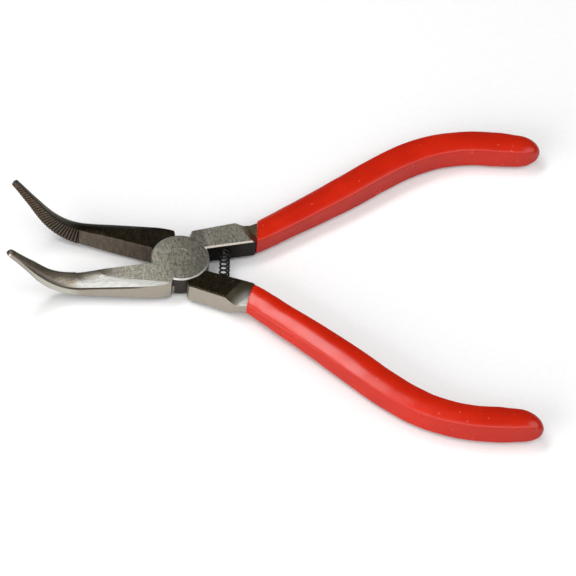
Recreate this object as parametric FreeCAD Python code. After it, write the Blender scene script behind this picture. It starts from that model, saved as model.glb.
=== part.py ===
import FreeCAD, Part
import math
import os

# Bent-nose needle nose pliers with a lap joint, spring-opened, at rest half open and lying flat.
# Millimetres. The origin is on the pivot axis at the joint's flat underside: +X runs to the handles,
# the jaws point along -X and bend up towards +Z.
#
# Both forgings have the same outline. They are drawn closed, as the half whose jaw lies at -Y and whose
# handle lies at +Y. The other one is its mirror image, with the lap disc in the other layer.

Vector = FreeCAD.Vector

# Driving dimensions
OPEN_HALF_ANGLE = 14.5      # each half turns this far from closed to rest, degrees
JOINT_THICK = 6.0
MID = JOINT_THICK / 2
LAP_GAP = 0.06              # between the two lap discs' faces
DISC_RADIUS = 7.65
SHOULDER_CLEARANCE = 0.18   # between a disc's rim and the other half's shoulders
HANDLE_WALL_ANGLE = 59.5    # from the length axis to the radial wall of the handle's shoulder, degrees
JAW_WALL_ANGLE = 63.5       # and of the jaw's shoulder
RIM_CHAMFER = 0.35
PAST = 3.0                  # cutting tools reach this far past what they cut
ROUGH = 25.0                # size of a cutting block that clears a whole half's width

RIVET_RADIUS = 2.4
RIVET_FLARE = 0.6           # how far the flared ends spread, and how deep they reach
RIVET_CLEARANCE = 0.05
RIVET_RECESS = 0.05         # the ends stop this far under the ground faces

# Jaw: a centre line that runs straight, bends up along an arc, then runs straight to the tip
JAW_STRAIGHT = 26.5
BEND_RADIUS = 14.0
BEND_ANGLE = 49.5
CENTRE_RISE = 0.1           # how far the centre line has risen where the bend starts
RISE_START = 10.0
# One row per jaw section: distance along the centre line, width of the gripping face,
# depth from the gripping face to the back, how far the back lies under the centre line,
# half height of the back, bulge of the sides
JAW_SECTIONS = [
    (3.0, 6.0, 7.85, 0.00, 2.85, 0.35),
    (8.0, 6.0, 8.0, 0.00, 2.65, 0.55),
    (15.0, 5.9, 6.8, 0.10, 2.10, 0.80),
    (21.5, 5.5, 5.45, 0.25, 1.80, 0.65),
    (27.0, 5.15, 4.35, 0.35, 1.50, 0.55),
    (31.5, 5.2, 3.65, 0.30, 1.15, 0.50),
    (36.0, 4.5, 3.05, 0.20, 0.85, 0.45),
    (41.0, 3.5, 2.45, 0.15, 0.60, 0.36),
    (46.0, 2.55, 1.95, 0.10, 0.45, 0.26),
    (49.0, 2.12, 1.70, 0.07, 0.40, 0.22),
    (50.6, 1.88, 1.54, 0.06, 0.37, 0.19),
    (51.3, 1.76, 1.46, 0.05, 0.35, 0.18),
]
TIP_CAP = 0.45              # length of the rounded end past the last section
TIP_STEPS = [(0.6, 0.86), (1.0, 0.55)]   # along the rounded end, and the size there
JAW_FACE = 0.05             # the tooth crests stand this far off the closing plane
FACE_RELIEF = 0.35          # the smooth part of the gripping face lies this low where the teeth start
ROOT_RELIEF = 0.75          # and this low at the pivot
RELIEF_MARGIN = 0.3         # the smooth part ends this far short of the first groove's middle
TEETH_START = 28.0
TOOTH_PITCH = 0.8
TOOTH_DEPTH = 0.27
TOOTH_MOUTH = 0.66          # groove width at the crests, as a share of the pitch
TEETH_MARGIN = 1.0          # the last groove ends this far short of the last section
GROUND_END = 24.0           # the flat ground faces reach this far along the jaw

# Handle root and neck, closed plan outline
ROOT_INNER_START = (7.05, 1.9)
ROOT_INNER_END = (19.9, 1.9)
ROOT_INNER_CORNER = (20.75, 2.15)
ROOT_INNER_TURN = (21.15, 2.85)
ROOT_OUTER = (5.0, 8.46)
ROOT_PEAK = (16.4, 9.15)
NECK_MIDDLE = (18.8, 9.12)
NECK_WAIST = (20.8, 8.7)
NECK_END = (27.2, 10.3)     # inside the tang, as is the next point
NECK_INNER_END = (27.6, 5.6)

# Each hollow: the line where it starts, outer end first, then its profiles at the inner side,
# the middle and the outer side, as (distance past the line, depth), to its full depth
OWN_SCOOP = (
    (16.5, 9.1),
    (19.7, 2.15),
    ((0.0, 0.0), (0.9, 0.7), (2.4, 1.25)),
    ((0.0, 0.0), (1.0, 0.75), (2.4, 1.45)),
    ((0.0, 0.0), (1.0, 1.15), (2.4, 2.35)),
)
OTHER_SCOOP = (
    (14.6, 8.9),
    (17.7, 2.0),
    ((0.0, 0.0), (1.9, 0.4), (4.5, 1.25)),
    ((0.0, 0.0), (1.7, 0.75), (3.6, 1.6)),
    ((0.0, 0.0), (1.4, 1.55), (2.8, 2.75)),
)
SCOOP_OVERHANG = 0.6        # the end profiles stand this far outside the line's ends

# Grip: one row per section of the sleeve, in plan along the handle's centre line
# x, y, width across, half height of the inner side, half height of the outer side, crown
GRIP_SECTIONS = [
    (18.2, 4.5, 6.1, 2.60, 1.65, 0.70),
    (23.8, 6.45, 6.75, 2.50, 1.65, 0.95),
    (29.65, 8.86, 7.05, 2.40, 1.70, 1.05),
    (39.75, 12.95, 7.3, 2.75, 2.10, 1.05),
    (49.95, 17.36, 7.6, 3.00, 2.55, 0.95),
    (60.2, 22.0, 7.5, 3.00, 2.90, 0.85),
    (69.4, 25.3, 7.35, 3.00, 3.00, 0.80),
    (77.7, 26.6, 7.1, 3.00, 3.00, 0.80),
    (85.7, 26.1, 7.1, 3.00, 3.00, 0.80),
    (92.6, 24.4, 7.1, 3.00, 3.00, 0.80),
    (97.0, 23.15, 6.5, 2.90, 2.90, 0.75),
]
NOSE_LENGTH = 6.6           # rounded end of the sleeve, past the last section
NOSE_STEPS = (0.35, 0.62, 0.82, 0.94, 0.99)
NOSE_PLAN_POWER = 1.8       # how round the nose is in plan
NOSE_POWER = 2.2            # and in height
FRONT_NOSE_LEAN = 0.0       # how far the nose's tip leans to the outer side
REAR_NOSE_LEAN = 1.0
FRONT_GRIP_CUT = (20.95, -14.0)  # where the sleeve starts on the inner side, and the cut's slant, degrees
REAR_GRIP_CUT = (20.6, 0.0)
TANG_SIDE_INSET = 0.8       # vinyl thickness on the sides
TANG_FACE_INSET = 0.75      # vinyl thickness on the faces
TANG_FIRST = 1              # the tang starts past the sleeve's first section
TANG_LAST = 10              # and stops short of its nose

# Return spring
SPRING_X = 11.7
SPRING_OUTER = 2.9
SPRING_WIRE = 0.52
SPRING_TURNS = 9.5
SPRING_END_GAP = 0.05
SEAT_RADIUS = 1.65
SEAT_DEPTH = 1.5
SEAT_MOUTH = 5.05           # distance of the handles' inner faces from the length axis at the seats, at rest

FRONT = 1                   # the half with the lap disc in the upper layer
REAR = -1


def prism(points, low, high):
    """Upright prism on a closed plan polygon."""
    corners = [Vector(x, y, low) for x, y in points]
    face = Part.Face(Part.makePolygon(corners + corners[:1]))
    return face.extrude(Vector(0, 0, high - low))


def jaw_station(distance):
    """Point on the jaw's centre line, and its direction as an angle above the length axis."""
    bend_length = BEND_RADIUS * math.radians(BEND_ANGLE)
    if distance <= JAW_STRAIGHT:
        part = max(0.0, distance - RISE_START) / (JAW_STRAIGHT - RISE_START)
        return Vector(-distance, 0, MID + CENTRE_RISE * part), 0.0
    turn = min(distance - JAW_STRAIGHT, bend_length) / BEND_RADIUS
    x = JAW_STRAIGHT + BEND_RADIUS * math.sin(turn)
    z = MID + CENTRE_RISE + BEND_RADIUS * (1 - math.cos(turn))
    run = max(0.0, distance - JAW_STRAIGHT - bend_length)
    x += run * math.cos(turn)
    z += run * math.sin(turn)
    return Vector(-x, 0, z), turn


def jaw_section(distance, width, depth, drop, back, bulge):
    """D-shaped section: a flat gripping side, a narrow flat back and two bulged faces."""
    centre, turn = jaw_station(distance)
    up = Vector(math.sin(turn), 0, math.cos(turn))
    grip = Vector(0, -JAW_FACE, 0)
    rear = Vector(0, -JAW_FACE - depth, 0) - up * drop
    middle = (grip + rear) * 0.5
    rise = (width / 2 + back) / 2 + bulge
    grip_top = centre + grip + up * (width / 2)
    grip_low = centre + grip - up * (width / 2)
    rear_top = centre + rear + up * back
    rear_low = centre + rear - up * back
    edges = [
        Part.LineSegment(grip_low, grip_top).toShape(),
        Part.Arc(grip_top, centre + middle + up * rise, rear_top).toShape(),
        Part.LineSegment(rear_top, rear_low).toShape(),
        Part.Arc(rear_low, centre + middle - up * rise, grip_low).toShape(),
    ]
    return Part.Wire(edges)


def jaw_tip_sections():
    """Two shrinking sections that round the end of the jaw."""
    distance, *sizes = JAW_SECTIONS[-1]
    rounded = []
    for part, scale in TIP_STEPS:
        rounded.append([distance + TIP_CAP * part] + [size * scale for size in sizes])
    return rounded


def teeth():
    """Grooves across the gripping face, square to the bent centre line."""
    grooves = []
    half = TOOTH_PITCH * TOOTH_MOUTH / 2
    reach = JOINT_THICK
    distance = TEETH_START
    while distance < JAW_SECTIONS[-1][0] - TEETH_MARGIN:
        centre, turn = jaw_station(distance)
        along = Vector(-math.cos(turn), 0, math.sin(turn))
        up = Vector(math.sin(turn), 0, math.cos(turn))
        low = centre - up * reach
        points = [
            low + along * -half,
            low + along * half,
            low + Vector(0, -JAW_FACE - TOOTH_DEPTH, 0),
        ]
        face = Part.Face(Part.makePolygon(points + points[:1]))
        grooves.append(face.extrude(up * (2 * reach)))
        distance += TOOTH_PITCH
    return grooves


def jaw():
    """The bent, tapering jaw, from inside the disc to the tip."""
    body = Part.makeLoft([jaw_section(*row) for row in JAW_SECTIONS], True, False)
    cap_rows = [JAW_SECTIONS[-1]] + jaw_tip_sections()
    cap = Part.makeLoft([jaw_section(*row) for row in cap_rows], True, True)
    body = body.fuse(cap)
    ground = [(-GROUND_END, PAST), (PAST, PAST), (PAST, -ROUGH), (-GROUND_END, -ROUGH)]
    above = prism(ground, JOINT_THICK, JOINT_THICK + PAST)
    below = prism(ground, -PAST, 0)
    relief_end = RELIEF_MARGIN - TEETH_START
    relief = prism(
        [
            (PAST, PAST),
            (relief_end, PAST),
            (relief_end, -FACE_RELIEF),
            (0, -ROOT_RELIEF),
            (PAST, -ROOT_RELIEF),
        ],
        -PAST,
        JOINT_THICK + PAST,
    )
    wall = math.radians(JAW_WALL_ANGLE)
    past_wall = prism(
        [
            (0, 0),
            (-ROUGH * math.cos(wall), -ROUGH * math.sin(wall)),
            (ROUGH, -ROUGH),
            (ROUGH, PAST),
            (0, PAST),
        ],
        -PAST,
        JOINT_THICK + PAST,
    )
    body = body.cut([above, below, relief, past_wall])
    return body.cut(teeth())


def lap_disc():
    """Disc of full thickness, with chamfered rims."""
    disc = Part.makeCylinder(DISC_RADIUS, JOINT_THICK)
    return disc.makeChamfer(RIM_CHAMFER, [e for e in disc.Edges if len(e.Vertexes) == 1])


def scoop_profile(side, start, along, profile):
    """Outline of the hollowing tool in one upright plane."""
    face_z = MID + side * MID
    arc = [start + along * t + Vector(0, 0, face_z - side * depth) for t, depth in profile]
    far = arc[-1] + along * ROUGH
    over = Vector(0, 0, side * PAST)
    edges = [
        Part.Arc(arc[0], arc[1], arc[2]).toShape(),
        Part.LineSegment(arc[2], far).toShape(),
        Part.LineSegment(far, far + over).toShape(),
        Part.LineSegment(far + over, arc[0] + over).toShape(),
        Part.LineSegment(arc[0] + over, arc[0]).toShape(),
    ]
    return Part.Wire(edges)


def scoop(side, line_start, line_end, inner, middle, outer):
    """Tool that hollows the neck on its upper (side 1) or lower (side -1) face."""
    first = Vector(*line_start, 0)
    last = Vector(*line_end, 0)
    across = (last - first).normalize()
    along = Vector(-across.y, across.x, 0)
    wires = [
        scoop_profile(side, first - across * SCOOP_OVERHANG, along, outer),
        scoop_profile(side, (first + last) * 0.5, along, middle),
        scoop_profile(side, last + across * SCOOP_OVERHANG, along, inner),
    ]
    return Part.makeLoft(wires, True, False)


def handle_root(layer):
    """Flat ground shoulder of the handle and the hollowed neck behind it."""
    inside = DISC_RADIUS - PAST
    wall = math.radians(HANDLE_WALL_ANGLE)

    def at(point):
        return Vector(point[0], point[1], 0)

    first = at((inside * math.cos(wall), inside * math.sin(wall)))
    edges = [
        Part.LineSegment(first, at(ROOT_OUTER)).toShape(),
        Part.LineSegment(at(ROOT_OUTER), at(ROOT_PEAK)).toShape(),
        Part.Arc(at(ROOT_PEAK), at(NECK_MIDDLE), at(NECK_WAIST)).toShape(),
        Part.LineSegment(at(NECK_WAIST), at(NECK_END)).toShape(),
        Part.LineSegment(at(NECK_END), at(NECK_INNER_END)).toShape(),
        Part.LineSegment(at(NECK_INNER_END), at(ROOT_INNER_TURN)).toShape(),
        Part.Arc(at(ROOT_INNER_TURN), at(ROOT_INNER_CORNER), at(ROOT_INNER_END)).toShape(),
        Part.LineSegment(at(ROOT_INNER_END), at(ROOT_INNER_START)).toShape(),
        Part.LineSegment(at(ROOT_INNER_START), first).toShape(),
    ]
    body = Part.Face(Part.Wire(edges)).extrude(Vector(0, 0, JOINT_THICK))
    rims = [e for e in body.Edges if e.BoundBox.ZLength < RIM_CHAMFER]
    body = body.makeChamfer(RIM_CHAMFER, rims)
    return body.cut([scoop(layer, *OWN_SCOOP), scoop(-layer, *OTHER_SCOOP)])


def handle_path():
    """Smooth centre line through the grip's section points."""
    path = Part.BSplineCurve()
    path.interpolate([Vector(x, y, MID) for x, y, *_ in GRIP_SECTIONS])
    return path


def handle_section(centre, tangent, width, inner, outer, crown):
    """Section square to the handle: flat inner and outer sides, crowned faces."""
    side = Vector(-tangent.y, tangent.x, 0).normalize()
    near = centre - side * (width / 2)
    far = centre + side * (width / 2)
    up = Vector(0, 0, 1)
    top = centre + up * ((inner + outer) / 2 + crown)
    low = centre - up * ((inner + outer) / 2 + crown)
    edges = [
        Part.LineSegment(near - up * inner, near + up * inner).toShape(),
        Part.Arc(near + up * inner, top, far + up * outer).toShape(),
        Part.LineSegment(far + up * outer, far - up * outer).toShape(),
        Part.Arc(far - up * outer, low, near - up * inner).toShape(),
    ]
    return Part.Wire(edges)


def handle_loft(side_inset, face_inset, rows, nose_lean=None):
    """Solid along the handle, inset from the sleeve's surface; a nose lean adds the rounded end."""
    path = handle_path()
    wires = []
    for x, y, width, inner, outer, crown in rows:
        centre = Vector(x, y, MID)
        tangent = path.tangent(path.parameter(centre))[0]
        wires.append(
            handle_section(
                centre,
                tangent,
                width - 2 * side_inset,
                inner - face_inset,
                outer - face_inset,
                crown,
            )
        )
    if nose_lean is not None:
        outward = Vector(-tangent.y, tangent.x, 0)
        last = Vector(x, y, MID)
        for part in NOSE_STEPS:
            slim = (1 - part**NOSE_PLAN_POWER) ** (1 / NOSE_PLAN_POWER)
            tall = (1 - part**NOSE_POWER) ** (1 / NOSE_POWER)
            centre = last + tangent * (NOSE_LENGTH * part) + outward * (nose_lean * part**2)
            wires.append(
                handle_section(
                    centre, tangent, width * slim, inner * tall, outer * tall, crown * tall
                )
            )
    return Part.makeLoft(wires, True, False)


def seat(side):
    """Blind round seat for the spring in the closed outline; its axis lies along Y at rest."""
    mouth = Vector(SPRING_X, SEAT_MOUTH - PAST, MID)
    hole = Part.makeCylinder(SEAT_RADIUS, SEAT_DEPTH + PAST, mouth, Vector(0, 1, 0))
    hole.rotate(Vector(0, 0, 0), Vector(0, 0, 1), -OPEN_HALF_ANGLE)
    return hole


def rivet(radius):
    """Round pin whose ends flare out over the last part of its length."""
    flare = radius + RIVET_FLARE
    low = RIVET_RECESS
    high = JOINT_THICK - RIVET_RECESS
    points = [
        Vector(0, 0, low),
        Vector(flare, 0, low),
        Vector(radius, 0, low + RIVET_FLARE),
        Vector(radius, 0, high - RIVET_FLARE),
        Vector(flare, 0, high),
        Vector(0, 0, high),
    ]
    face = Part.Face(Part.makePolygon(points + points[:1]))
    return face.revolve(Vector(0, 0, 0), Vector(0, 0, 1), 360)


def blank(layer):
    """One forging before the lap is cut: disc, jaw, handle root and tang."""
    rows = GRIP_SECTIONS[TANG_FIRST:TANG_LAST]
    tang = handle_loft(TANG_SIDE_INSET, TANG_FACE_INSET, rows)
    return lap_disc().fuse([jaw(), handle_root(layer), tang]).removeSplitter()


def lapped(layer):
    """The closed blank with the other half's disc space, the spring seat and the rivet hole cut out."""
    reach = DISC_RADIUS + SHOULDER_CLEARANCE
    height = MID + LAP_GAP / 2 + PAST
    if layer == FRONT:
        space = Part.makeCylinder(reach, height, Vector(0, 0, -PAST))
        hole = rivet(RIVET_RADIUS + RIVET_CLEARANCE)
    else:
        space = Part.makeCylinder(reach, height, Vector(0, 0, MID - LAP_GAP / 2))
        hole = rivet(RIVET_RADIUS)
    mouth_radius = RIVET_RADIUS + RIVET_CLEARANCE + RIVET_FLARE
    top_mouth = Part.makeCylinder(mouth_radius, PAST, Vector(0, 0, JOINT_THICK - RIVET_RECESS))
    low_mouth = Part.makeCylinder(mouth_radius, PAST, Vector(0, 0, RIVET_RECESS - PAST))
    return blank(layer).cut([space, seat(layer), hole, top_mouth, low_mouth])


def place(shape, layer):
    """Turn a closed half, or what rides on it, to the rest position."""
    placed = shape.copy()
    if layer == REAR:
        placed = placed.mirror(Vector(0, 0, 0), Vector(0, 1, 0))
    placed.rotate(Vector(0, 0, 0), Vector(0, 0, 1), layer * OPEN_HALF_ANGLE)
    return placed


def grip(cut, nose_lean, steel):
    """Vinyl sleeve from its cut edge to its rounded end, hollow where the tang fills it."""
    start, slant = cut
    inner_edge = Vector(start, ROOT_INNER_END[1], 0)
    corner = inner_edge - Vector(ROUGH, ROUGH, PAST)
    before = Part.makeBox(ROUGH, 2 * ROUGH, JOINT_THICK + 2 * PAST, corner)
    before.rotate(inner_edge, Vector(0, 0, 1), slant)
    sleeve = handle_loft(0, 0, GRIP_SECTIONS, nose_lean)
    return sleeve.cut(before).cut(steel)


def return_spring():
    """Round-wire coil along Y between the seats' floors."""
    end = SEAT_MOUTH + SEAT_DEPTH - SPRING_END_GAP - SPRING_WIRE / 2
    radius = (SPRING_OUTER - SPRING_WIRE) / 2
    height = 2 * end
    pitch = height / SPRING_TURNS
    path = Part.makeHelix(pitch, height, radius)
    start = path.Edges[0].Vertexes[0].Point
    across = Vector(0, 2 * math.pi * radius, pitch)
    circle = Part.Wire([Part.makeCircle(SPRING_WIRE / 2, start, across)])
    coil = Part.Wire(path.Edges).makePipeShell([circle], True, True)
    coil.rotate(Vector(0, 0, 0), Vector(1, 0, 0), 90)
    coil.translate(Vector(SPRING_X, end, MID))
    return coil


def solid_of(shape):
    """The single solid of a result."""
    solids = shape.Solids
    if len(solids) != 1:
        raise ValueError(f"expected one solid, found {len(solids)}")
    return solids[0]


def main():
    front = solid_of(lapped(FRONT))
    rear = solid_of(lapped(REAR))
    nodes = {
        "front_half": place(front, FRONT),
        "rear_half": place(rear, REAR),
        "pivot_rivet": rivet(RIVET_RADIUS),
        "return_spring": return_spring(),
        "front_grip": place(grip(FRONT_GRIP_CUT, FRONT_NOSE_LEAN, front), FRONT),
        "rear_grip": place(grip(REAR_GRIP_CUT, REAR_NOSE_LEAN, rear), REAR),
    }
    os.makedirs("parts", exist_ok=True)
    for name, shape in nodes.items():
        solid = solid_of(shape)
        solid.exportStep(f"parts/{name}.step")
        print(f"{name}: {solid.Volume:.1f} mm3, valid {solid.isValid()}")


main()
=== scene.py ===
import math

import bpy
import numpy as np
from mathutils import Matrix, Vector


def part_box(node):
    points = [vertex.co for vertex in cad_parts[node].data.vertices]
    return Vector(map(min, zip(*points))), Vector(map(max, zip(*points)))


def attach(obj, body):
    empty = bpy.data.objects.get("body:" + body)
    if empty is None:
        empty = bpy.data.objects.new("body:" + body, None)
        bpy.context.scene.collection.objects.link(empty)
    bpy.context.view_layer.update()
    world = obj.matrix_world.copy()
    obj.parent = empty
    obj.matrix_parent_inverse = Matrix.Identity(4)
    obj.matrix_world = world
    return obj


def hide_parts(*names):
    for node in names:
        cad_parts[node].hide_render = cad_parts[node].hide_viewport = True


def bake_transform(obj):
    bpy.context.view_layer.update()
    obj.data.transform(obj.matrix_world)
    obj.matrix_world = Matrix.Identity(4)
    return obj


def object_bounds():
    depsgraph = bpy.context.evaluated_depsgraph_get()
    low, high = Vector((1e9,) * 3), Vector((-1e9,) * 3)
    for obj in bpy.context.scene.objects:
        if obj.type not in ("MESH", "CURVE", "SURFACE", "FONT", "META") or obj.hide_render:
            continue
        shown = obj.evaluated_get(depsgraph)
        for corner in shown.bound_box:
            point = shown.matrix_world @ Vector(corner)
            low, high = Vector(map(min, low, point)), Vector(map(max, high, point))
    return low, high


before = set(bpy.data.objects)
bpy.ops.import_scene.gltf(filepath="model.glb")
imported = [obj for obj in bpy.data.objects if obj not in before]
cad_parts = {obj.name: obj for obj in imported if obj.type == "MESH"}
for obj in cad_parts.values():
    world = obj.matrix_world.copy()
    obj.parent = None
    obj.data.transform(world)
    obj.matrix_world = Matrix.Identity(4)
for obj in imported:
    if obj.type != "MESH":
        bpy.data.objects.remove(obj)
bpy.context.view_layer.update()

MM = 0.001

# Driving sizes, the same as the CAD's. A half is drawn closed, its handle at +Y, then turned open.
OPEN_HALF_ANGLE = math.radians(14.5)
FRONT, REAR = 1, -1
RIVET_LOW, RIVET_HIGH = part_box("pivot_rivet")
MID = (RIVET_LOW.z + RIVET_HIGH.z) / 2

# x, y, width, inner half height, outer half height, crown, all in mm: the sections of a sleeve
GRIP_SECTIONS = np.array([
    (18.2, 4.5, 6.1, 2.60, 1.65, 0.70),
    (23.8, 6.45, 6.75, 2.50, 1.65, 0.95),
    (29.65, 8.86, 7.05, 2.40, 1.70, 1.05),
    (39.75, 12.95, 7.3, 2.75, 2.10, 1.05),
    (49.95, 17.36, 7.6, 3.00, 2.55, 0.95),
    (60.2, 22.0, 7.5, 3.00, 2.90, 0.85),
    (69.4, 25.3, 7.35, 3.00, 3.00, 0.80),
    (77.7, 26.6, 7.1, 3.00, 3.00, 0.80),
    (85.7, 26.1, 7.1, 3.00, 3.00, 0.80),
    (92.6, 24.4, 7.1, 3.00, 3.00, 0.80),
    (97.0, 23.15, 6.5, 2.90, 2.90, 0.75),
])
LAST_SECTION = len(GRIP_SECTIONS) - 1
NOSE_LENGTH = 6.5                    # mm of rounded end past the last section
NOSE_PLAN_POWER = 1.8                # how round the nose is in plan
NOSE_POWER = 2.2                     # and in height
FRONT_NOSE_LEAN = 0.0                # mm that the nose's tip leans to the outer side
REAR_NOSE_LEAN = 1.0
GRIP_START_Y = 1.9                   # mm, the inner end of the sleeve's cut
FRONT_GRIP_CUT = (20.95, -14.0)      # mm along X of the cut's inner end, and its slant in degrees
REAR_GRIP_CUT = (20.6, 0.0)

SPRING_X = 11.7 * MM
SPRING_RADIUS = 1.19 * MM
SPRING_WIRE = 0.26 * MM              # the wire's radius
SPRING_TURNS = 9.5


# ---------------------------------------------------------------- mesh helpers

def mesh_object(name, points, faces, smooth=True):
    mesh = bpy.data.meshes.new(name)
    mesh.from_pydata([tuple(p) for p in points], [], faces)
    mesh.validate()
    mesh.update()
    for polygon in mesh.polygons:
        polygon.use_smooth = smooth
    obj = bpy.data.objects.new(name, mesh)
    bpy.context.scene.collection.objects.link(obj)
    return obj


def ring_faces(rings, around):
    """Quads between closed rings of the same number of points."""
    faces = []
    for k in range(rings - 1):
        for j in range(around):
            n = (j + 1) % around
            faces.append((k * around + j, k * around + n, (k + 1) * around + n, (k + 1) * around + j))
    return faces


def fan_faces(first, around, apex):
    """Triangles from a closed ring, whose points start at number first, to one apex."""
    return [(first + j, first + (j + 1) % around, apex) for j in range(around)]


def catmull(table, t):
    """Catmull-Rom value of a table's rows at the row numbers t."""
    last = len(table) - 1
    t = np.clip(t, 0, last)
    i = np.minimum(t.astype(int), last - 1)
    f = (t - i)[..., None]
    padded = np.vstack([2 * table[0] - table[1], table, 2 * table[-1] - table[-2]])
    a, b, c, d = (padded[i + k] for k in range(4))
    square = 2 * a - 5 * b + 4 * c - d
    cube = 3 * b - a - 3 * c + d
    return 0.5 * (2 * b + (c - a) * f + square * f**2 + cube * f**3)


# ---------------------------------------------------------------- grips

SIDE_STEPS = 14
FACE_STEPS = 34
AROUND = 2 * (SIDE_STEPS + FACE_STEPS)
SOFT_EDGE = 0.34                     # mm over which a section's creases are softened
SOFT_PASSES = 2
ROW_STEP = 0.01                      # part of a row used to find the sleeve's direction
CUT_SEARCH_ROWS = 2.0                # the cut lies within this many rows of the sleeve's start
CUT_SEARCH_STEPS = 30
SQUARE_PAST_CUT = 0.35               # rows past the cut at which the rings stand square
START_RINGS = 12
START_CROWDING = 1.4                 # crowds the first rings towards the cut
BODY_RINGS = 130
LIP_STEPS = ((0.2, 0.0), (0.55, 0.0), (0.8, 0.0), (0.9, 0.0), (0.955, 0.02), (0.985, 0.09))
LIP_ROUND = 0.24                     # mm that the cut edge is drawn in by its rounding
NOSE_RINGS = 15
WAVES = 14
WAVE_HEIGHT = 0.008                  # mm
SKIN_INSET = 0.03                    # mm that the skin keeps inside its CAD solid


def section_ring(width, inner, outer, crown):
    """Closed outline of a section in mm as (across, up), with softened creases."""
    flat = -np.cos(np.linspace(0, math.pi, SIDE_STEPS + 1)[:-1])
    wide = -np.cos(np.linspace(0, math.pi, FACE_STEPS + 1)[:-1])
    half = width / 2

    def face(u):
        return inner + (outer - inner) * (u + 1) / 2 + (1 - u**2) * crown

    sides = np.full(SIDE_STEPS, half)
    across = np.concatenate([-sides, half * wide, sides, -half * wide])
    up = np.concatenate([inner * flat, face(wide), -outer * flat, -face(-wide)])
    points = np.stack([across, up], 1)
    for _ in range(SOFT_PASSES):
        following = np.roll(points, -1, 0) - points
        length = np.linalg.norm(following, axis=1)
        place = np.concatenate([[0], np.cumsum(length)])
        total = place[-1]
        place = place[:-1]
        gap = np.abs(place[:, None] - place[None, :])
        gap = np.minimum(gap, total - gap)
        span = (length + np.roll(length, 1)) / 2
        weight = np.exp(-0.5 * (gap / (SOFT_EDGE / 2)) ** 2) * span[None, :]
        points = (weight @ points) / weight.sum(1, keepdims=True)
    return points


def sleeve_ring(t):
    """Points round the sleeve's skin and its directions there, in mm, closed, at row numbers t."""
    rows = catmull(GRIP_SECTIONS, t)
    ahead = catmull(GRIP_SECTIONS, np.clip(t + ROW_STEP, 0, LAST_SECTION))
    behind = catmull(GRIP_SECTIONS, np.clip(t - ROW_STEP, 0, LAST_SECTION))
    along = (ahead - behind)[:, :2]
    along /= np.linalg.norm(along, axis=1, keepdims=True)
    side = np.stack([-along[:, 1], along[:, 0]], 1)
    outline = np.empty((AROUND, 2))
    cache = {}
    for j, row in enumerate(rows):
        sizes = tuple(np.round(row[2:], 2))
        if sizes not in cache:
            cache[sizes] = section_ring(*sizes)
        outline[j] = cache[sizes][j]
    plan = rows[:, :2] + side * outline[:, :1]
    return np.concatenate([plan, outline[:, 1:]], 1), along


def place_half(points, layer):
    """From mm in the closed plan (up measured from the joint's middle) to the row frame."""
    x, y, up = points[..., 0], points[..., 1] * layer, points[..., 2]
    turn = OPEN_HALF_ANGLE * layer
    return np.stack(
        [x * math.cos(turn) - y * math.sin(turn), x * math.sin(turn) + y * math.cos(turn), up], -1
    ) * MM + np.array([0, 0, MID])


def cut_rows(base, normal):
    """Row number at which each lengthwise line of the sleeve meets the slanted cut."""
    low, high = np.zeros(AROUND), np.full(AROUND, CUT_SEARCH_ROWS)
    for _ in range(CUT_SEARCH_STEPS):
        middle = (low + high) / 2
        points, _along = sleeve_ring(middle)
        before = (points[:, :2] - base) @ normal < 0
        low = np.where(before, middle, low)
        high = np.where(before, high, middle)
    return (low + high) / 2


def body_rings(first):
    """Rings from the slanted cut, turning square, then along the sleeve to its last section."""
    square = first.max() + SQUARE_PAST_CUT
    shares = np.linspace(0, 1, START_RINGS + 1)[:-1] ** START_CROWDING
    stations = [first + (square - first) * share for share in shares]
    stations += [np.full(AROUND, t) for t in np.linspace(square, LAST_SECTION, BODY_RINGS)]
    return np.array([sleeve_ring(t)[0] for t in stations])


def lip_rings(edge, normal):
    """Rings over the cut edge: flat out from the steel, then a small rounded lip."""
    centre = edge.mean(0)
    rings = []
    for scale, out in LIP_STEPS:
        ring = centre + (edge - centre) * scale
        ring[:, :2] += normal * out
        rings.append(ring)
    return rings, centre


def nose_rings(nose_lean):
    """Rings round the nose, past the last section, and its tip."""
    base, along = sleeve_ring(np.full(AROUND, float(LAST_SECTION)))
    ahead = along[0]
    outward = np.array([-ahead[1], ahead[0]])
    middle = base.mean(0)
    rings = []
    for part in np.sin(np.linspace(0, math.pi / 2, NOSE_RINGS + 2)[1:-1]):
        ring = base - middle
        ring[:, :2] *= (1 - part**NOSE_PLAN_POWER) ** (1 / NOSE_PLAN_POWER)
        ring[:, 2] *= (1 - part**NOSE_POWER) ** (1 / NOSE_POWER)
        ring += middle
        ring[:, :2] += ahead * NOSE_LENGTH * part + outward * nose_lean * part**2
        rings.append(ring)
    tip = middle.copy()
    tip[:2] += ahead * NOSE_LENGTH + outward * nose_lean
    return rings, tip


def dipped(rings, still, seed):
    """The rings with the soft unevenness of a dipped skin, past the first ones, which stay still."""
    rng = np.random.default_rng(seed)
    n_rings = len(rings)
    along = np.arange(n_rings)[:, None] / n_rings
    angle = np.arange(AROUND)[None, :] / AROUND * 2 * math.pi
    wave = np.zeros((n_rings, AROUND))
    for _ in range(WAVES):
        height = rng.normal()
        lengthwise = 2 * math.pi * rng.uniform(2, 16) * along
        wave += height * np.sin(lengthwise + rng.integers(0, 4) * angle + rng.uniform(0, 6.28))
    wave *= WAVE_HEIGHT
    wave[:still] = 0
    swell = rings - rings.mean(1, keepdims=True)
    swell /= np.maximum(np.linalg.norm(swell, axis=2, keepdims=True), 1e-6)
    return rings + swell * (wave[..., None] - SKIN_INSET)


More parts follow.
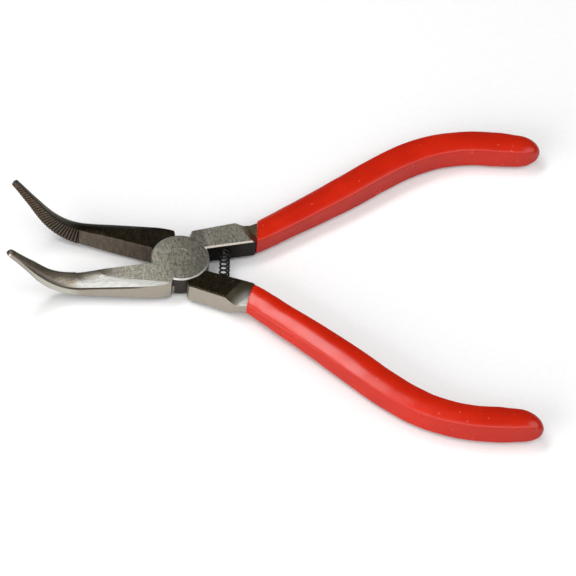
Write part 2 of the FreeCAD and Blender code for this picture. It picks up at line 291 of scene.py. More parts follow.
def grip_piece(name, layer, cut, nose_lean, seed):
    start, slant = cut
    angle = math.radians(slant)
    normal = np.array([math.cos(angle), math.sin(angle)])
    body = body_rings(cut_rows(np.array([start, GRIP_START_Y]), normal))
    lips, back = lip_rings(body[0], normal)
    body[0, :, :2] += normal * LIP_ROUND
    noses, tip = nose_rings(nose_lean)
    rings = dipped(np.array(lips + list(body) + noses), len(lips) + 1, seed)
    points = place_half(rings, layer).reshape(-1, 3)
    ends = place_half(np.array([tip, back]), layer)
    faces = ring_faces(len(rings), AROUND)
    faces += fan_faces((len(rings) - 1) * AROUND, AROUND, len(points))
    faces += [face[::-1] for face in fan_faces(0, AROUND, len(points) + 1)]
    if layer == REAR:
        faces = [face[::-1] for face in faces]
    return mesh_object(name, np.vstack([points, ends]), faces)


# ---------------------------------------------------------------- return spring

STEPS_PER_TURN = 44
WIRE_AROUND = 12
END_CLOSING = 0.45                   # part of the pitch that the end turns lose
END_REACH = 0.8                      # turns over which they lose it


def coil_line(low, high):
    """Centre line of the wire, its end turns closed up a little, and the way out from the coil's axis."""
    half = (high.y - low.y) / 2 - SPRING_WIRE
    s = np.linspace(0, 1, int(SPRING_TURNS * STEPS_PER_TURN) + 1)
    from_ends = np.stack([s, 1 - s]) * SPRING_TURNS
    pitch = 1 - END_CLOSING * np.exp(-((from_ends / END_REACH) ** 2)).sum(0)
    y = np.concatenate([[0], np.cumsum((pitch[1:] + pitch[:-1]) / 2)])
    y = y / y[-1] * 2 - 1
    angle = 2 * math.pi * SPRING_TURNS * s
    out = np.stack([np.cos(angle), np.zeros(len(s)), np.sin(angle)], 1)
    axis = np.stack([np.full(len(s), SPRING_X), (low.y + high.y) / 2 + half * y, np.full(len(s), MID)], 1)
    return axis + SPRING_RADIUS * out, out


def spring_piece():
    low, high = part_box("return_spring")
    line, out = coil_line(low, high)
    n = len(line)
    along = np.gradient(line, axis=0)
    along /= np.linalg.norm(along, axis=1, keepdims=True)
    out -= (out * along).sum(1, keepdims=True) * along
    out /= np.linalg.norm(out, axis=1, keepdims=True)
    side = np.cross(along, out)
    a = np.linspace(0, 2 * math.pi, WIRE_AROUND, endpoint=False)[None, :, None]
    rings = line[:, None] + SPRING_WIRE * (np.cos(a) * out[:, None] + np.sin(a) * side[:, None])
    points = np.vstack([rings.reshape(-1, 3), line[:1], line[-1:]])
    faces = ring_faces(n, WIRE_AROUND)
    faces += [face[::-1] for face in fan_faces(0, WIRE_AROUND, n * WIRE_AROUND)]
    faces += fan_faces((n - 1) * WIRE_AROUND, WIRE_AROUND, n * WIRE_AROUND + 1)
    obj = mesh_object("spring_coil", points, faces)
    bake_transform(obj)
    return obj


# ---------------------------------------------------------------- material helpers

BEVEL_SAMPLES = 8
EDGE_TURN = (0.995, 0.955)           # cosine of the turn at which an edge starts to show, and shows fully


class Shader:
    """A few calls that keep a node material readable."""

    def __init__(self, name):
        self.material = bpy.data.materials.new(name)
        self.material.use_nodes = True
        self.tree = self.material.node_tree
        self.tree.nodes.clear()
        self.output = self.tree.nodes.new("ShaderNodeOutputMaterial")
        self.bsdf = self.tree.nodes.new("ShaderNodeBsdfPrincipled")
        self.tree.links.new(self.bsdf.outputs[0], self.output.inputs[0])
        self.coords = self.tree.nodes.new("ShaderNodeTexCoord")

    def put(self, socket, value):
        if isinstance(value, bpy.types.NodeSocket):
            self.tree.links.new(value, socket)
        else:
            socket.default_value = value

    def math(self, operation, a, b=0.0, c=None):
        node = self.tree.nodes.new("ShaderNodeMath")
        node.operation = operation
        self.put(node.inputs[0], a)
        self.put(node.inputs[1], b)
        if c is not None:
            self.put(node.inputs[2], c)
        return node.outputs[0]

    def plus(self, value, other, share):
        """A value and a share of another."""
        return self.math("ADD", value, self.math("MULTIPLY", other, share))

    def step(self, value, low, high):
        """Smooth 0 to 1 as value goes from low to high (low may be the larger one)."""
        node = self.tree.nodes.new("ShaderNodeMapRange")
        node.interpolation_type = "SMOOTHSTEP"
        flip = low > high
        self.put(node.inputs["Value"], value)
        node.inputs["From Min"].default_value = min(low, high)
        node.inputs["From Max"].default_value = max(low, high)
        node.inputs["To Min"].default_value = 1.0 if flip else 0.0
        node.inputs["To Max"].default_value = 0.0 if flip else 1.0
        return node.outputs["Result"]

    def both(self, *masks):
        result = masks[0]
        for mask in masks[1:]:
            result = self.math("MULTIPLY", result, mask)
        return result

    def mix(self, factor, a, b):
        node = self.tree.nodes.new("ShaderNodeMix")
        node.data_type = "RGBA"
        self.put(node.inputs[0], factor)
        for socket, value in ((node.inputs[6], a), (node.inputs[7], b)):
            if isinstance(value, tuple) and len(value) == 3:
                value = (*value, 1.0)
            self.put(socket, value)
        return node.outputs[2]

    def scale(self, colour, factor):
        node = self.tree.nodes.new("ShaderNodeVectorMath")
        node.operation = "SCALE"
        self.put(node.inputs[0], colour)
        self.put(node.inputs["Scale"], factor)
        return node.outputs[0]

    def lerp(self, factor, a, b):
        node = self.tree.nodes.new("ShaderNodeMix")
        node.data_type = "FLOAT"
        self.put(node.inputs[0], factor)
        self.put(node.inputs[2], a)
        self.put(node.inputs[3], b)
        return node.outputs[0]

    def mapped(self, vector, scale, turn=0.0):
        node = self.tree.nodes.new("ShaderNodeMapping")
        self.put(node.inputs["Vector"], vector)
        node.inputs["Rotation"].default_value = (0, 0, turn)
        node.inputs["Scale"].default_value = scale
        return node.outputs[0]

    def noise(self, vector, scale, detail=3.0, roughness=0.55):
        node = self.tree.nodes.new("ShaderNodeTexNoise")
        self.put(node.inputs["Vector"], vector)
        node.inputs["Scale"].default_value = scale
        node.inputs["Detail"].default_value = detail
        node.inputs["Roughness"].default_value = roughness
        return node.outputs[0]

    def spots(self, vector, scale, radius):
        """1 inside small round dots scattered one to a cell, 0 outside."""
        node = self.tree.nodes.new("ShaderNodeTexVoronoi")
        self.put(node.inputs["Vector"], vector)
        node.inputs["Scale"].default_value = scale
        return self.step(node.outputs["Distance"], radius, radius * 0.4), node.outputs["Color"]

    def bump(self, height, distance, strength=1.0, normal=None):
        node = self.tree.nodes.new("ShaderNodeBump")
        node.inputs["Strength"].default_value = strength
        node.inputs["Distance"].default_value = distance
        self.put(node.inputs["Height"], height)
        if normal is not None:
            self.put(node.inputs["Normal"], normal)
        return node.outputs[0]

    def split(self, vector):
        node = self.tree.nodes.new("ShaderNodeSeparateXYZ")
        self.put(node.inputs[0], vector)
        return node.outputs[0], node.outputs[1], node.outputs[2]

    def closed(self, vector, layer):
        """A place or normal at rest, taken to the closed plan in which both halves are alike."""
        node = self.tree.nodes.new("ShaderNodeVectorRotate")
        node.rotation_type = "Z_AXIS"
        self.put(node.inputs["Vector"], vector)
        node.inputs["Angle"].default_value = -layer * OPEN_HALF_ANGLE
        flip = self.tree.nodes.new("ShaderNodeVectorMath")
        flip.operation = "MULTIPLY"
        self.put(flip.inputs[0], node.outputs[0])
        flip.inputs[1].default_value = (1, layer, layer)
        return flip.outputs[0]

    def edges(self, normal, layer, radius):
        """Normal rounded over sharp edges, the same in the closed plan, and a mask of the edges."""
        bevel = self.tree.nodes.new("ShaderNodeBevel")
        bevel.samples = BEVEL_SAMPLES
        bevel.inputs["Radius"].default_value = radius
        to_object = self.tree.nodes.new("ShaderNodeVectorTransform")
        to_object.vector_type = "NORMAL"
        to_object.convert_from, to_object.convert_to = "WORLD", "OBJECT"
        self.put(to_object.inputs[0], bevel.outputs[0])
        rounded = self.closed(to_object.outputs[0], layer)
        turned = self.tree.nodes.new("ShaderNodeVectorMath")
        turned.operation = "DOT_PRODUCT"
        self.put(turned.inputs[0], normal)
        self.put(turned.inputs[1], rounded)
        return bevel.outputs[0], rounded, self.step(turned.outputs["Value"], *EDGE_TURN)


def set_slots(obj, material):
    obj.data.materials.clear()
    obj.data.materials.append(material)


# ---------------------------------------------------------------- steel

GROUND = (0.480, 0.463, 0.390)
GROUND_DARK = (0.175, 0.164, 0.125)
SILVER = (0.62, 0.62, 0.59)
BRIGHT = (0.92, 0.91, 0.88)
BEIGE = (0.54, 0.490, 0.415)
BEIGE_LIGHT = (0.80, 0.770, 0.68)
BENT = (0.30, 0.250, 0.180)
# BENT: brown of the bent tip, kept dark partly as painted shade
BENT_LIGHT = (0.62, 0.57, 0.465)
RUST = (0.16, 0.075, 0.040)
DARK_FACE = (0.018, 0.014, 0.0075)
DARK_WORN = (0.055, 0.044, 0.028)
HOLLOW = (0.205, 0.160, 0.092)
GRIPPING = (0.155, 0.122, 0.092)
GRIPPING_WORN = (0.270, 0.225, 0.180)
TOOTH_DARK = (0.032, 0.025, 0.019)
TOOTH_LIGHT = (0.19, 0.150, 0.115)
BLACK = (0.022, 0.020, 0.018)
BLACK_WORN = (0.080, 0.076, 0.070)
NOTCH = (0.085, 0.074, 0.068)
# colour of the painted shade line under the jaw's crease
CREASE_SHADE_BROWN = (0.055, 0.034, 0.020)
TIP_PAINTED_SHEEN = (0.235, 0.225, 0.180)

# Places in the closed plan, in metres. A pair says where a finish starts to show and where it is full.
# The lines across the necks where the hollows start, on a half's own side and on its other side.
OWN_HOLLOW = ((0.0165, 0.0091), (0.0197, 0.00215))
OTHER_HOLLOW = ((0.0146, 0.0089), (0.0177, 0.0020))
HOLLOW_EDGE = (0.0, 0.0003)
GROUND_BEFORE_HOLLOW = (0.0002, 0.0)
JAW_STARTS = (-0.0035, -0.0055)
GROUND_STARTS = (-0.0200, -0.0130)
GROUND_WANDER = 0.004                # how far the end of the ground face wanders
LIGHTER_TO_JAW = (0.0065, -0.0125)
ROOT_STARTS = (0.0070, 0.0085)
BEND_STARTS = (-0.0262, -0.0282)
BEND_WANDER = 0.003
BEND_MIDDLE = -0.0265
CREASE_FALL = (0.0755, 0.0062)       # slope and height of the jaws' outer crease, before the bend
CREASE_RISE = 49.0                   # how fast it curves up, past the bend's middle
CREASE_SHADE_DEPTH = (0.00095, 0.00045)
CREASE_SHADE_STARTS = (-0.0090, -0.0150)
CREASE_SHINE_STARTS = (-0.0325, -0.0290)
GRIPPING_STARTS = (-0.0060, -0.0075)
TEETH_START = (-0.0274, -0.0277)
TEETH_DEPTH = (-0.00046, -0.00040)
TOOTH_CREST = (-0.00016, -0.00006)
TOOTH_RUST_STARTS = (-0.034, -0.041)
EDGE_SHADE_DEPTH = (-0.0036, -0.0016)
EDGE_SHADE_WANDER = 0.0022
EDGE_SHADE_STARTS = (-0.0135, -0.0185)
FLECK_DEPTH = (-0.0052, -0.0022)
BAND_LIGHT_STARTS = (-0.026, -0.031)
BAND_LIGHT_ENDS = (-0.044, -0.036)
TIP_PAINTED_SHEEN_STARTS = (-0.027, -0.033)
BLACK_STARTS = (0.0055, 0.0065)
BLACK_END_STARTS = (0.0194, 0.0196)
BLACK_WITHIN = (0.0052, 0.0044)
BLACK_WEARS = (0.0135, 0.0180)
HOLLOW_SHINE_PAST = (0.0012, 0.0052)
HOLLOW_SHINE_OUTWARD = (0.0028, 0.0062)
WALL_RADIUS = (0.0084, 0.0081)
RIM_RADIUS = (0.0079, 0.0077)
ROOT_SHINE_STARTS = (0.006, 0.007)

# Grinding strokes: scale along X, Y and Z, the turn in radians, detail, roughness and share
STROKES = (
    ((3400, 900, 400), 0.30, 3.0, 0.65, 0.40),
    ((900, 3000, 400), 0.15, 3.0, 0.60, 0.25),
    ((3000, 700, 400), -0.75, 2.0, 0.60, 0.35),
)
GRINDING_BUMP = 0.02 * MM
EDGE_WEAR = 0.14 * MM                # radius over which sharp edges are worn


def past_line(s, x, y, line):
    """Distance past a line in the closed plan, positive on the grip's side."""
    (ax, ay), (bx, by) = line
    length = math.hypot(bx - ax, by - ay)
    nx, ny = (ay - by) / length, (bx - ax) / length
    across = s.math("ADD", s.math("MULTIPLY", x, nx), s.math("MULTIPLY", y, ny))
    return s.math("SUBTRACT", across, ax * nx + ay * ny)


def scaled(colour, factor):
    return tuple(channel * factor for channel in colour)


class Steel(Shader):
    """Forged half: own face ground, other face dark, flanks polished, inner faces left black."""

    def __init__(self, name, layer):
        super().__init__(name)
        self.place = self.closed(self.coords.outputs["Object"], layer)
        self.x, self.y, _z = self.split(self.place)
        normal = self.closed(self.coords.outputs["Normal"], layer)
        _nx, self.ny, self.nz = self.split(normal)
        self.up = self.math("ABSOLUTE", self.nz)
        self.soft_normal, self.rounded, self.edge = self.edges(normal, layer, EDGE_WEAR)
        self.find_grain()
        self.find_faces()
        self.find_details()

    def find_grain(self):
        """Grinding marks: short crossing strokes over a mottle, and streaks along the jaw."""
        self.strokes = 0.0
        for scale, turn, detail, roughness, share in STROKES:
            stroke = self.noise(self.mapped(self.place, scale, turn), 1.0, detail, roughness)
            self.strokes = self.plus(self.strokes, stroke, share)
            self.last_stroke = stroke
        self.mottle = self.noise(self.place, 1500.0, 5.0, 0.7)
        self.fleck = self.noise(self.place, 3600.0, 4.0, 0.65)
        self.cloud = self.noise(self.place, 150.0, 3.0, 0.5)
        self.streaks = self.noise(self.mapped(self.place, (110, 2400, 2400)), 1.0, 2.0, 0.6)
        self.broad_streaks = self.noise(self.mapped(self.place, (60, 900, 900)), 1.0, 2.0, 0.5)
        self.worn = self.plus(self.math("MULTIPLY", self.strokes, 0.72), self.mottle, 0.28)
        self.tone = self.step(self.worn, 0.38, 0.62)

    def find_faces(self):
        """Masks of the big faces, by place and by the way each faces."""
        x, y, ny, nz, up = self.x, self.y, self.ny, self.nz, self.up
        own = self.step(nz, -0.1, 0.1)
        own_past = past_line(self, x, y, OWN_HOLLOW)
        self.other_past = past_line(self, x, y, OTHER_HOLLOW)
        self.jaw = self.step(x, *JAW_STARTS)
        near_joint = self.step(self.plus(x, self.cloud, GROUND_WANDER), *GROUND_STARTS)
        before_hollow = self.step(own_past, *GROUND_BEFORE_HOLLOW)
        self.ground = self.both(self.step(up, 0.97, 0.992), near_joint, own, before_hollow)
        self.bent = self.step(self.plus(x, self.cloud, BEND_WANDER), *BEND_STARTS)
        self.dark_side = self.step(nz, -0.30, -0.55)
        self.outer_jaw = self.both(self.step(ny, -0.55, -0.8), self.jaw)
        self.gripping = self.both(self.step(ny, 0.75, 0.9), self.step(x, *GRIPPING_STARTS))
        off_flanks = self.both(self.step(ny, 0.75, 0.5), self.step(ny, -0.8, -0.6))
        self.hollow = self.both(own, self.step(own_past, *HOLLOW_EDGE), off_flanks)
        self.other_hollow = self.both(self.dark_side, self.step(self.other_past, *HOLLOW_EDGE))

    def find_details(self):
        """Masks of the teeth, the black inner faces, the notch walls and the disc's chamfer."""
        x, y, ny, up = self.x, self.y, self.ny, self.up
        radius = self.math("SQRT", self.plus(self.math("MULTIPLY", x, x), y, y))
        self.teeth = self.both(self.step(y, *TEETH_DEPTH), self.step(x, *TEETH_START))
        inner = self.both(self.step(ny, -0.8, -0.92), self.step(x, *BLACK_STARTS))
        upright = self.step(up, 0.5, 0.3)
        inner_end = self.both(upright, self.step(x, *BLACK_END_STARTS))
        self.inner_handle = self.both(self.math("MAXIMUM", inner, inner_end), self.step(y, *BLACK_WITHIN))
        self.wall = self.both(upright, self.step(radius, *WALL_RADIUS), self.step(ny, 0.999, 0.99))
        slanted = self.both(self.step(up, 0.45, 0.6), self.step(up, 0.9, 0.8))
        self.joint_rim = self.both(slanted, self.step(radius, *RIM_RADIUS))

    def ground_colour(self):
        """Lighter towards the jaw and on the handle root, duller across the disc."""
        level = self.lerp(self.step(self.x, *LIGHTER_TO_JAW), 0.62, 1.55)
        level = self.plus(level, self.step(self.x, *ROOT_STARTS), 0.36)
        return self.scale(self.mix(self.tone, GROUND_DARK, GROUND), level)

    def jaw_colour(self):
        """Polished silver, flecked towards the ground face; past the bend brown and streaked, and darker
        there partly as painted shade; painted shade along the gripping edge.
        """
        colour = self.mix(self.step(self.streaks, 0.3, 0.7), SILVER, scaled(SILVER, 0.80))
        amount = self.lerp(self.step(self.y, *FLECK_DEPTH), 0.30, 0.85)
        flecks = self.both(self.step(self.fleck, 0.50, 0.66), amount)
        colour = self.mix(flecks, colour, scaled(BENT, 0.9))
        # past the bend: the brown and the streaks are the steel's own, and its darkness is partly painted
        # shade where the bent face turns from the light
        bent = self.mix(self.step(self.broad_streaks, 0.38, 0.62), BENT, BENT_LIGHT)
        bent = self.mix(self.both(self.step(self.streaks, 0.52, 0.68), 0.45), bent, RUST)
        colour = self.mix(self.bent, colour, bent)
        # painted shade: the near face darkened along the gripping edge, where it turns away from the
        # light, with a ragged border from the mottle
        ragged = self.plus(self.y, self.math("SUBTRACT", self.mottle, 0.5), EDGE_SHADE_WANDER)
        edge = self.both(self.step(ragged, *EDGE_SHADE_DEPTH), self.step(self.x, *EDGE_SHADE_STARTS), 0.88)
        return self.mix(edge, colour, scaled(BENT, 0.45))

    def band_colour(self):
        """The jaw's outer side and the shoulders, lightest round the bend."""
        colour = self.mix(self.step(self.mottle, 0.3, 0.7), BEIGE, scaled(BEIGE, 1.16))
        light = self.both(self.step(self.x, *BAND_LIGHT_STARTS), self.step(self.x, *BAND_LIGHT_ENDS))
        return self.mix(light, colour, BEIGE_LIGHT)

    def dark_colour(self):
        """The face that was never ground: its dark oxide darkened further as painted shade, a few
        scratches, and a lighter strip to the tip that is painted light.
        """
        # DARK_FACE: the face's own dark oxide, darkened further as painted shade of the dark surroundings
        # it reflects
        colour = self.mix(self.step(self.worn, 0.42, 0.68), DARK_FACE, DARK_WORN)
        patches = self.step(self.cloud, 0.48, 0.62)
        scratches = self.both(self.step(self.last_stroke, 0.63, 0.72), patches, 0.6)
        colour = self.mix(scratches, colour, GROUND_DARK)
        # painted light: lighter past the bend, where the bent face turns towards the light
        return self.mix(self.both(self.step(self.x, *TIP_PAINTED_SHEEN_STARTS), 0.75), colour, TIP_PAINTED_SHEEN)

    def other_hollow_colour(self):
        """Painted reflection: the hollow in the dark face goes from dark to silver towards the sleeve's
        outer side, where it curves towards the light.
        """
        # painted reflection of the light on the hollow's outer part
        outward = self.step(self.y, *HOLLOW_SHINE_OUTWARD)
        silver = self.both(self.step(self.other_past, *HOLLOW_SHINE_PAST), outward)
        colour = self.mix(silver, scaled(DARK_WORN, 0.9), scaled(SILVER, 0.68))
        return self.mix(self.both(self.step(self.fleck, 0.45, 0.7), 0.4), colour, scaled(BENT, 0.5))

    def tooth_colour(self):
        """Dark grooves, worn crests, and some rust near the tip."""
        crest = self.mix(self.step(self.mottle, 0.4, 0.65), TOOTH_LIGHT, scaled(GRIPPING, 0.8))
        colour = self.mix(self.step(self.y, *TOOTH_CREST), TOOTH_DARK, crest)
        rust = self.both(self.step(self.x, *TOOTH_RUST_STARTS), self.step(self.mottle, 0.45, 0.6), 0.6)
        return self.mix(rust, colour, scaled(RUST, 0.8))

    def black_colour(self):
        """Black inner side of the handle root, worn grey near the sleeve."""
        colour = self.mix(self.step(self.mottle, 0.5, 0.8), BLACK, BLACK_WORN)
        return self.mix(self.both(self.step(self.x, *BLACK_WEARS), 0.45), colour, BLACK_WORN)

    def face_colour(self):
        """All the finishes laid over one another, the later ones on top."""
        band = self.band_colour()
        hollow = self.mix(self.step(self.mottle, 0.35, 0.7), HOLLOW, scaled(HOLLOW, 1.7))
        colour = self.mix(self.jaw, band, self.jaw_colour())
        for mask, coat in (
            (self.dark_side, self.dark_colour()),
            (self.ground, self.ground_colour()),
            (self.hollow, hollow),
            (self.other_hollow, self.other_hollow_colour()),
            (self.outer_jaw, band),
            (self.gripping, self.mix(self.tone, GRIPPING, GRIPPING_WORN)),
            (self.teeth, self.tooth_colour()),
            (self.inner_handle, self.black_colour()),
            (self.wall, NOTCH),
            (self.joint_rim, scaled(BRIGHT, 0.62)),
        ):
            colour = self.mix(mask, colour, coat)
        return colour

    def crease_shade_line(self):
        """Painted shade: a dark line under the jaw's outer crease, which falls slowly, then rises past
        the bend.
        """
        slope, start = CREASE_FALL
        past_bend = self.math("MAXIMUM", self.math("SUBTRACT", BEND_MIDDLE, self.x), 0.0)
        rise = self.math("MULTIPLY", self.math("MULTIPLY", past_bend, past_bend), CREASE_RISE)
        crease = self.math("ADD", self.math("MULTIPLY_ADD", self.x, slope, start), rise)
        _row_x, _row_y, height = self.split(self.coords.outputs["Object"])
        depth = self.math("SUBTRACT", crease, height)
        starts = self.step(self.x, *CREASE_SHADE_STARTS)
        return self.both(self.outer_jaw, self.step(depth, *CREASE_SHADE_DEPTH), starts, 0.92)

    def painted_edge_shine(self, colour):
        """Painted highlights as bright lines along the outward sharp edges of the jaw and the handle
        root, and the painted dark line under the jaw's crease.
        """
        _rnx, rny, rnz = self.split(self.rounded)
        # painted highlight: sharp edges that face up and out towards the light are laid over with
        # near-white
        bright = self.both(self.edge, self.step(rnz, 0.30, 0.5), self.step(self.nz, 0.3, 0.6))
        outward = self.step(rny, -0.1, -0.25)
        shine = self.both(bright, outward, self.jaw, self.step(self.x, *CREASE_SHINE_STARTS), 0.85)
        colour = self.mix(shine, colour, BRIGHT)
        root_shine = self.both(bright, self.step(self.x, *ROOT_SHINE_STARTS), self.step(rny, -0.1, -0.3))
        colour = self.mix(root_shine, colour, BRIGHT)
        return self.mix(self.crease_shade_line(), colour, CREASE_SHADE_BROWN)

    def roughness(self):
        """Roughness of each finish, uneven over the mottle."""
        rough = 0.40
        for mask, value in (
            (self.ground, 0.50),
            (self.bent, 0.52),
            (self.dark_side, 0.46),
            (self.outer_jaw, 0.42),
            (self.gripping, 0.50),
            (self.inner_handle, 0.55),
        ):
            rough = self.lerp(mask, rough, value)
        return self.plus(rough, self.math("SUBTRACT", self.mottle, 0.5), 0.16)

    def finish(self):
        self.put(self.bsdf.inputs["Base Color"], self.painted_edge_shine(self.face_colour()))
        self.put(self.bsdf.inputs["Roughness"], self.roughness())
        self.bsdf.inputs["Metallic"].default_value = 1.0
        height = self.plus(self.math("MULTIPLY", self.strokes, 0.7), self.mottle, 0.4)
        self.put(self.bsdf.inputs["Normal"], self.bump(height, GRINDING_BUMP, 0.6, self.soft_normal))
        return self.material


RIVET_LEVEL = 0.92                   # the rivet's ends are a little duller than the disc
SPRING_DARK = (0.008, 0.008, 0.008)
SPRING_LIGHT = (0.030, 0.028, 0.026)
OXIDE_BUMP = 0.01 * MM


def rivet_steel():
    """Rivet ends: ground with the disc, so the same strokes over a mottle."""
    s = Shader("rivet_ground")
    place = s.coords.outputs["Object"]
    stroke = s.noise(s.mapped(place, (2600, 700, 400), 0.1), 1.0, 3.0, 0.65)
    mottle = s.noise(place, 620.0, 5.0, 0.65)
    worn = s.plus(s.math("MULTIPLY", stroke, 0.55), mottle, 0.45)
    dark, light = scaled(GROUND_DARK, RIVET_LEVEL), scaled(GROUND, RIVET_LEVEL)
    s.put(s.bsdf.inputs["Base Color"], s.mix(s.step(worn, 0.36, 0.66), dark, light))
    s.put(s.bsdf.inputs["Roughness"], s.plus(0.42, mottle, 0.16))
    s.bsdf.inputs["Metallic"].default_value = 1.0
    s.put(s.bsdf.inputs["Normal"], s.bump(stroke, GRINDING_BUMP, 0.5))
    return s.material


def spring_steel():
    """Black oxide on the coil's wire."""
    s = Shader("spring_black")
    place = s.coords.outputs["Object"]
    mottle = s.noise(place, 1500.0, 4.0, 0.6)
    s.put(s.bsdf.inputs["Base Color"], s.mix(s.step(mottle, 0.35, 0.7), SPRING_DARK, SPRING_LIGHT))
    s.put(s.bsdf.inputs["Roughness"], s.plus(0.28, mottle, 0.2))
    s.bsdf.inputs["Metallic"].default_value = 0.6
    s.put(s.bsdf.inputs["Normal"], s.bump(mottle, OXIDE_BUMP, 0.4))
    return s.material


# ---------------------------------------------------------------- vinyl

RED = (0.62, 0.0160, 0.0012)
RED_DEEP = (0.52, 0.0125, 0.0012)
RED_PAINTED_SHADE = (0.40, 0.0120, 0.0020)
PINK = (0.80, 0.20, 0.14)

# Metres along X from the pivot: where each starts to show and where it is full.
SPECKS_THICKEN = (0.060, 0.088)
VINYL_END_SHADE = (0.070, 0.100)
VINYL_CREASE_SHADE_ENDS = (0.098, 0.090)
VINYL_BUMP = 0.03 * MM


def vinyl(name):
    """Dipped vinyl: clear red with specks, with painted shade darkening the end and the creases."""
    s = Shader(name)
    place = s.coords.outputs["Object"]
    x, _y, _z = s.split(place)
    cloud = s.noise(place, 90.0, 3.0, 0.5)
    fine = s.noise(place, 1500.0, 3.0, 0.6)
    dots, dot_colour = s.spots(place, 560.0, 0.17)
    chance = s.tree.nodes.new("ShaderNodeSeparateColor")
    s.put(chance.inputs[0], dot_colour)
    limit = s.lerp(s.step(x, *SPECKS_THICKEN), 0.86, 0.55)
    specks = s.both(dots, s.math("GREATER_THAN", chance.outputs[0], limit))
    _nx, _ny, nz = s.split(s.coords.outputs["Normal"])
    up = s.math("ABSOLUTE", nz)
    crease = s.both(s.step(up, 0.22, 0.42), s.step(up, 0.86, 0.66))

    colour = s.mix(s.step(cloud, 0.3, 0.75), RED_DEEP, RED)
    # painted shade: darker over the last part, where the end turns from the light
    colour = s.mix(s.both(s.step(x, *VINYL_END_SHADE), 0.45), colour, RED_PAINTED_SHADE)
    colour = s.mix(s.both(specks, 0.35), colour, PINK)
    # painted shade: a darker line where the face rounds over into the sides
    colour = s.mix(s.both(crease, s.step(x, *VINYL_CREASE_SHADE_ENDS), 0.45), colour, RED_PAINTED_SHADE)
    s.put(s.bsdf.inputs["Base Color"], colour)
    s.put(s.bsdf.inputs["Roughness"], s.plus(0.20, cloud, 0.12))
    s.bsdf.inputs["IOR"].default_value = 1.5
    s.put(s.bsdf.inputs["Normal"], s.bump(s.plus(specks, fine, 0.3), VINYL_BUMP, 0.6))
    return s.material


# ---------------------------------------------------------------- build

front_grip = grip_piece("front_sleeve", FRONT, FRONT_GRIP_CUT, FRONT_NOSE_LEAN, seed=11)
rear_grip = grip_piece("rear_sleeve", REAR, REAR_GRIP_CUT, REAR_NOSE_LEAN, seed=23)
spring = spring_piece()

red = vinyl("red_vinyl_dip")
for piece, body, node in ((front_grip, "front", "front_grip"), (rear_grip, "rear", "rear_grip")):
    set_slots(piece, red)
    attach(piece, body)
    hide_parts(node)
set_slots(spring, spring_steel())
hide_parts("return_spring")

set_slots(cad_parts["front_half"], Steel("front_steel", FRONT).finish())
set_slots(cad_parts["rear_half"], Steel("rear_steel", REAR).finish())
set_slots(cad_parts["pivot_rivet"], rivet_steel())


# ---------------------------------------------------------------- floor, light, camera

FLOOR_SIZE = 4.0                     # metres from the middle to each side
FLOOR_SQUARES = 8
FLOOR_GAP = 0.2 * MM                 # under the object's lowest point
FLOOR_WHITES = ((0.93, 0.93, 0.93), (0.95, 0.95, 0.95))
FLOOR_BOUNCE = (0.55, 0.55, 0.55)    # the tone that lights the object from below

WORLD_FRONT, WORLD_BACK = 0.55, 0.05
WORLD_TURN = (-0.35, 0.10)           # Y of the direction at which the front ends and the back starts

CENTRE = Vector((0.03, 0.0, 0.003))
PANEL_DISTANCE = 0.9
# name, direction from the object, long way, half angles of the window it fills, how bright it looks
PANELS = (
    ("key", (-0.40, 0.20, 0.89), (-0.42, -0.55, 0), (0.33, 0.12), 8.2),
    ("front_top", (0.12, -0.45, 0.85), (1, 0, 0), (0.42, 0.33), 1.35),
    ("right", (0.70, 0.05, 0.70), (0, 1, 0), (0.30, 0.28), 1.8),
    ("left_front", (-0.62, -0.72, 0.32), (0.72, -0.62, 0), (0.45, 0.28), 4.0),
)

CAMERA_TARGET = Vector((28.42, -5.65, 2.87)) * MM
CAMERA_DISTANCE = 1.23214
CAMERA_ELEVATION = math.radians(50.0)
CAMERA_TURN = math.radians(-3.28)
CAMERA_LEAN = math.radians(1.308)
CAMERA_LENS = 296.5


def floor_piece():
    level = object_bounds()[0].z - FLOOR_GAP
    line = np.linspace(-FLOOR_SIZE, FLOOR_SIZE, FLOOR_SQUARES + 1)
    points = [(x, y, level) for y in line for x in line]
    across = FLOOR_SQUARES + 1
    faces = []
    for row in range(FLOOR_SQUARES):
        for column in range(FLOOR_SQUARES):
            a = row * across + column
            faces.append((a, a + 1, a + across + 1, a + across))
    obj = mesh_object("floor", points, faces, smooth=False)
    s = Shader("floor_white")
    paper = s.noise(s.coords.outputs["Object"], 900.0, 3.0, 0.5)
    path = s.tree.nodes.new("ShaderNodeLightPath")
    pale = s.mix(s.step(paper, 0.3, 0.7), *FLOOR_WHITES)
    s.put(s.bsdf.inputs["Base Color"], s.mix(path.outputs["Is Camera Ray"], FLOOR_BOUNCE, pale))
    s.bsdf.inputs["Roughness"].default_value = 0.9
    s.bsdf.inputs["Specular IOR Level"].default_value = 0.1
    set_slots(obj, s.material)


def placed_object(name, data, right, up, back, at):
    """Object whose local axes point right, up and back, linked to the scene."""
    obj = bpy.data.objects.new(name, data)
    obj.matrix_world = Matrix((
        (right.x, up.x, back.x, at.x),
        (right.y, up.y, back.y, at.y),
        (right.z, up.z, back.z, at.z),
        (0, 0, 0, 1),
    ))
    bpy.context.scene.collection.objects.link(obj)
    return obj


def panel(name, direction, along, spread, radiance):
    """Soft light that fills a window of the sky."""
    back = Vector(direction).normalized()
    right = Vector(along)
    right = (right - back * right.dot(back)).normalized()
    data = bpy.data.lights.new(name, "AREA")
    data.shape = "RECTANGLE"
    data.size, data.size_y = (2 * PANEL_DISTANCE * math.tan(angle) for angle in spread)
    data.energy = radiance * math.pi * data.size * data.size_y
    placed_object(name, data, right, back.cross(right), back, CENTRE + back * PANEL_DISTANCE)


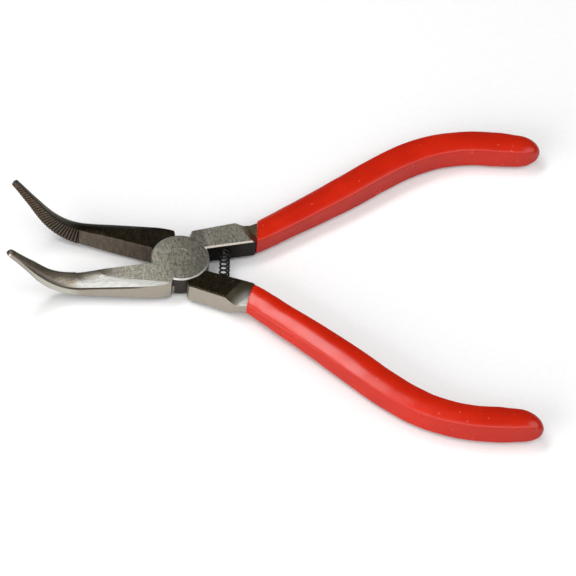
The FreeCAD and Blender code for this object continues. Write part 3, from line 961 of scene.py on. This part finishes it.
def surroundings():
    """Even studio, brighter in front of the tool than behind it, and white to the camera."""
    world = bpy.data.worlds.new("studio")
    bpy.context.scene.world = world
    world.use_nodes = True
    tree = world.node_tree
    tree.nodes.clear()
    out = tree.nodes.new("ShaderNodeOutputWorld")
    back = tree.nodes.new("ShaderNodeBackground")
    coords = tree.nodes.new("ShaderNodeTexCoord")
    parts = tree.nodes.new("ShaderNodeSeparateXYZ")
    ramp = tree.nodes.new("ShaderNodeMapRange")
    ramp.interpolation_type = "SMOOTHSTEP"
    ramp.inputs["From Min"].default_value, ramp.inputs["From Max"].default_value = WORLD_TURN
    ramp.inputs["To Min"].default_value = WORLD_FRONT
    ramp.inputs["To Max"].default_value = WORLD_BACK
    path = tree.nodes.new("ShaderNodeLightPath")
    mix = tree.nodes.new("ShaderNodeMix")
    mix.data_type = "RGBA"
    links = tree.links
    links.new(coords.outputs["Generated"], parts.inputs[0])
    links.new(parts.outputs[1], ramp.inputs["Value"])
    links.new(path.outputs["Is Camera Ray"], mix.inputs[0])
    links.new(ramp.outputs[0], mix.inputs[6])
    mix.inputs[7].default_value = (1, 1, 1, 1)
    links.new(mix.outputs[2], back.inputs[0])
    links.new(back.outputs[0], out.inputs[0])


def camera():
    """Long lens from in front and above, nearly square to the tool's length."""
    level = math.cos(CAMERA_ELEVATION)
    height = math.sin(CAMERA_ELEVATION)
    back = Vector((math.sin(CAMERA_TURN) * level, -math.cos(CAMERA_TURN) * level, height))
    upright = Vector((-math.sin(CAMERA_LEAN), math.cos(CAMERA_LEAN), 0))
    right = (-back).cross(upright).normalized()
    data = bpy.data.cameras.new("camera")
    data.sensor_width = 36.0
    data.lens = CAMERA_LENS
    data.clip_start, data.clip_end = 0.05, 20
    at = CAMERA_TARGET + back * CAMERA_DISTANCE
    bpy.context.scene.camera = placed_object("camera", data, right, back.cross(right), back, at)


floor_piece()
surroundings()
for settings in PANELS:
    panel(*settings)
camera()
bpy.context.scene.view_settings.view_transform = "Standard"
